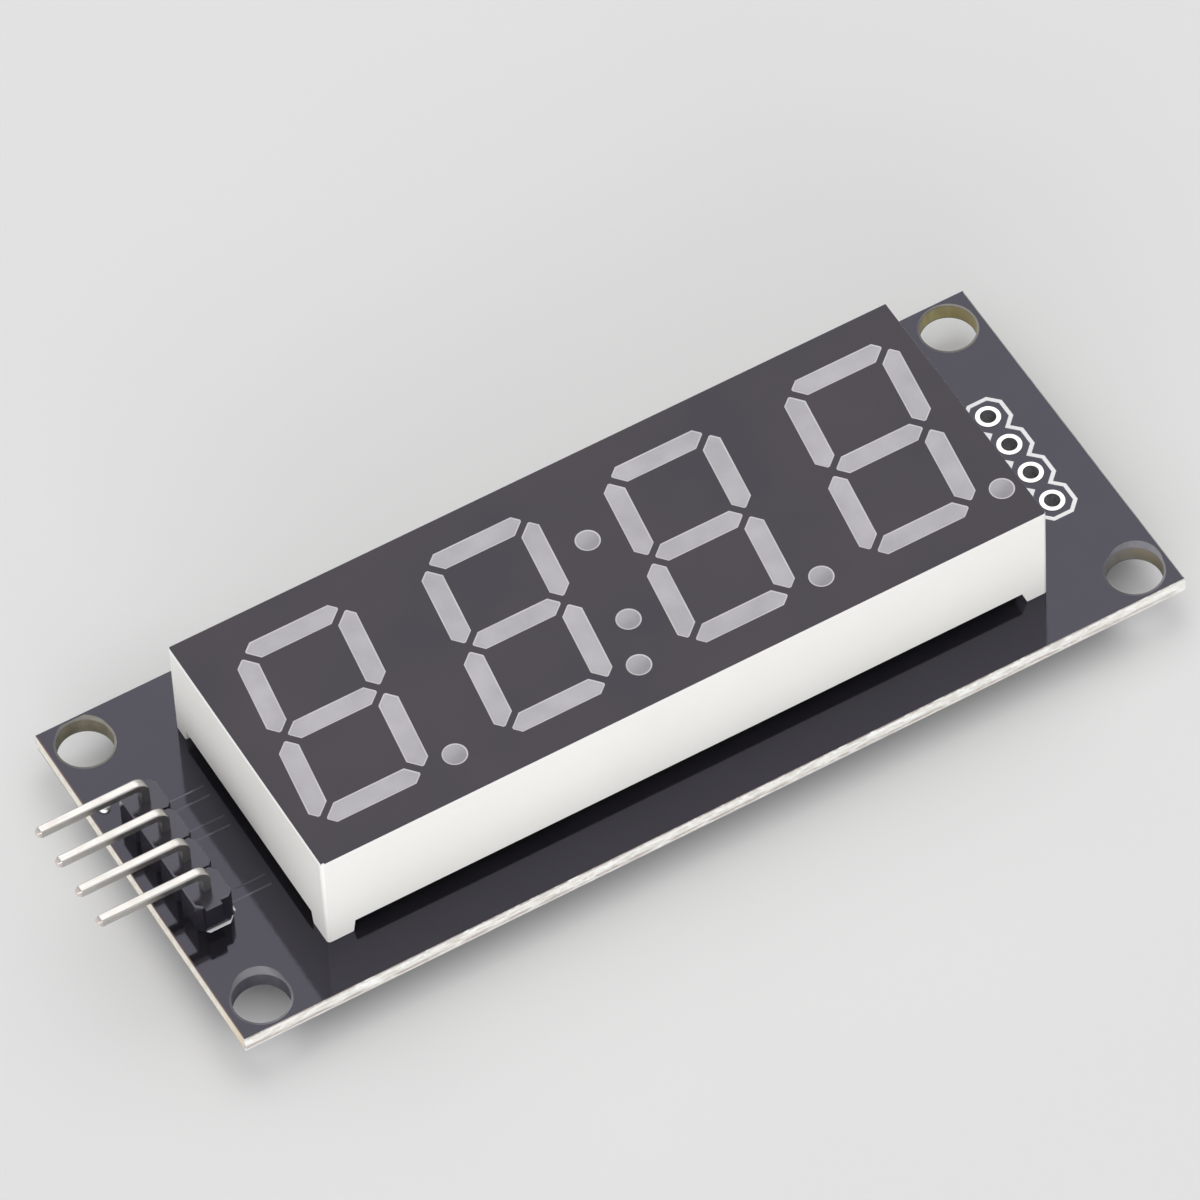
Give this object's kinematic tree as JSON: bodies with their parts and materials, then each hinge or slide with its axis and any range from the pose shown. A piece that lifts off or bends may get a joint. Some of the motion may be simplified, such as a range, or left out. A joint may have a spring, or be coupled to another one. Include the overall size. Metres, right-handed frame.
{
  "type": "seven segment display module",
  "caption": "Seven segment digits, decimal points and a colon in a white moulded display on a black driver board with a bent pin header and corner mounting holes.",
  "frame": {"origin": "middle of the four mounting holes, on the board's front face", "axes": "+X along the digits from left to right, +Y towards the digits' tops, +Z out of the display's front"},
  "size_m": [0.0703, 0.0264, 0.011],
  "materials": {
    "board": "glossy black lacquer over glass fibre board",
    "tin": "tinned copper",
    "housing": "satin white moulding",
    "face": "dark matt layer",
    "segment": "milky cast resin",
    "led_board": "bare glass fibre board",
    "led_chip": "polished chip",
    "potting": "cast resin",
    "pin": "bright tin plate",
    "header_block": "glossy black moulding",
    "chip": "matt black moulding",
    "lead": "matt tin plate",
    "resistor": "black glaze",
    "capacitor": "fired brown body",
    "end_cap": "matt tin plate",
    "solder": "bright solder"
  },
  "bodies": {
    "root": {"circuit_board": "board", "header_rings": "tin", "spare_rings": "tin", "display_rings": "tin", "back_lands": "tin", "display_housing": "housing", "display_face": "face", "digit_1_segments": "segment", "digit_2_segments": "segment", "digit_3_segments": "segment", "digit_4_segments": "segment", "colon_dots": "segment", "led_board": "led_board", "led_chips": "led_chip", "display_potting": "potting", "display_pins": "pin", "header_block": "header_block", "header_pin_1": "pin", "header_pin_2": "pin", "header_pin_3": "pin", "header_pin_4": "pin", "driver_chip": "chip", "driver_chip_leads": "lead", "resistors": "resistor", "resistor_ends": "end_cap", "capacitors": "capacitor", "capacitor_ends": "end_cap", "header_solder": "solder", "display_solder": "solder", "surface_solder": "solder", "solder_bead": "solder"}
  },
  "joints": []
}
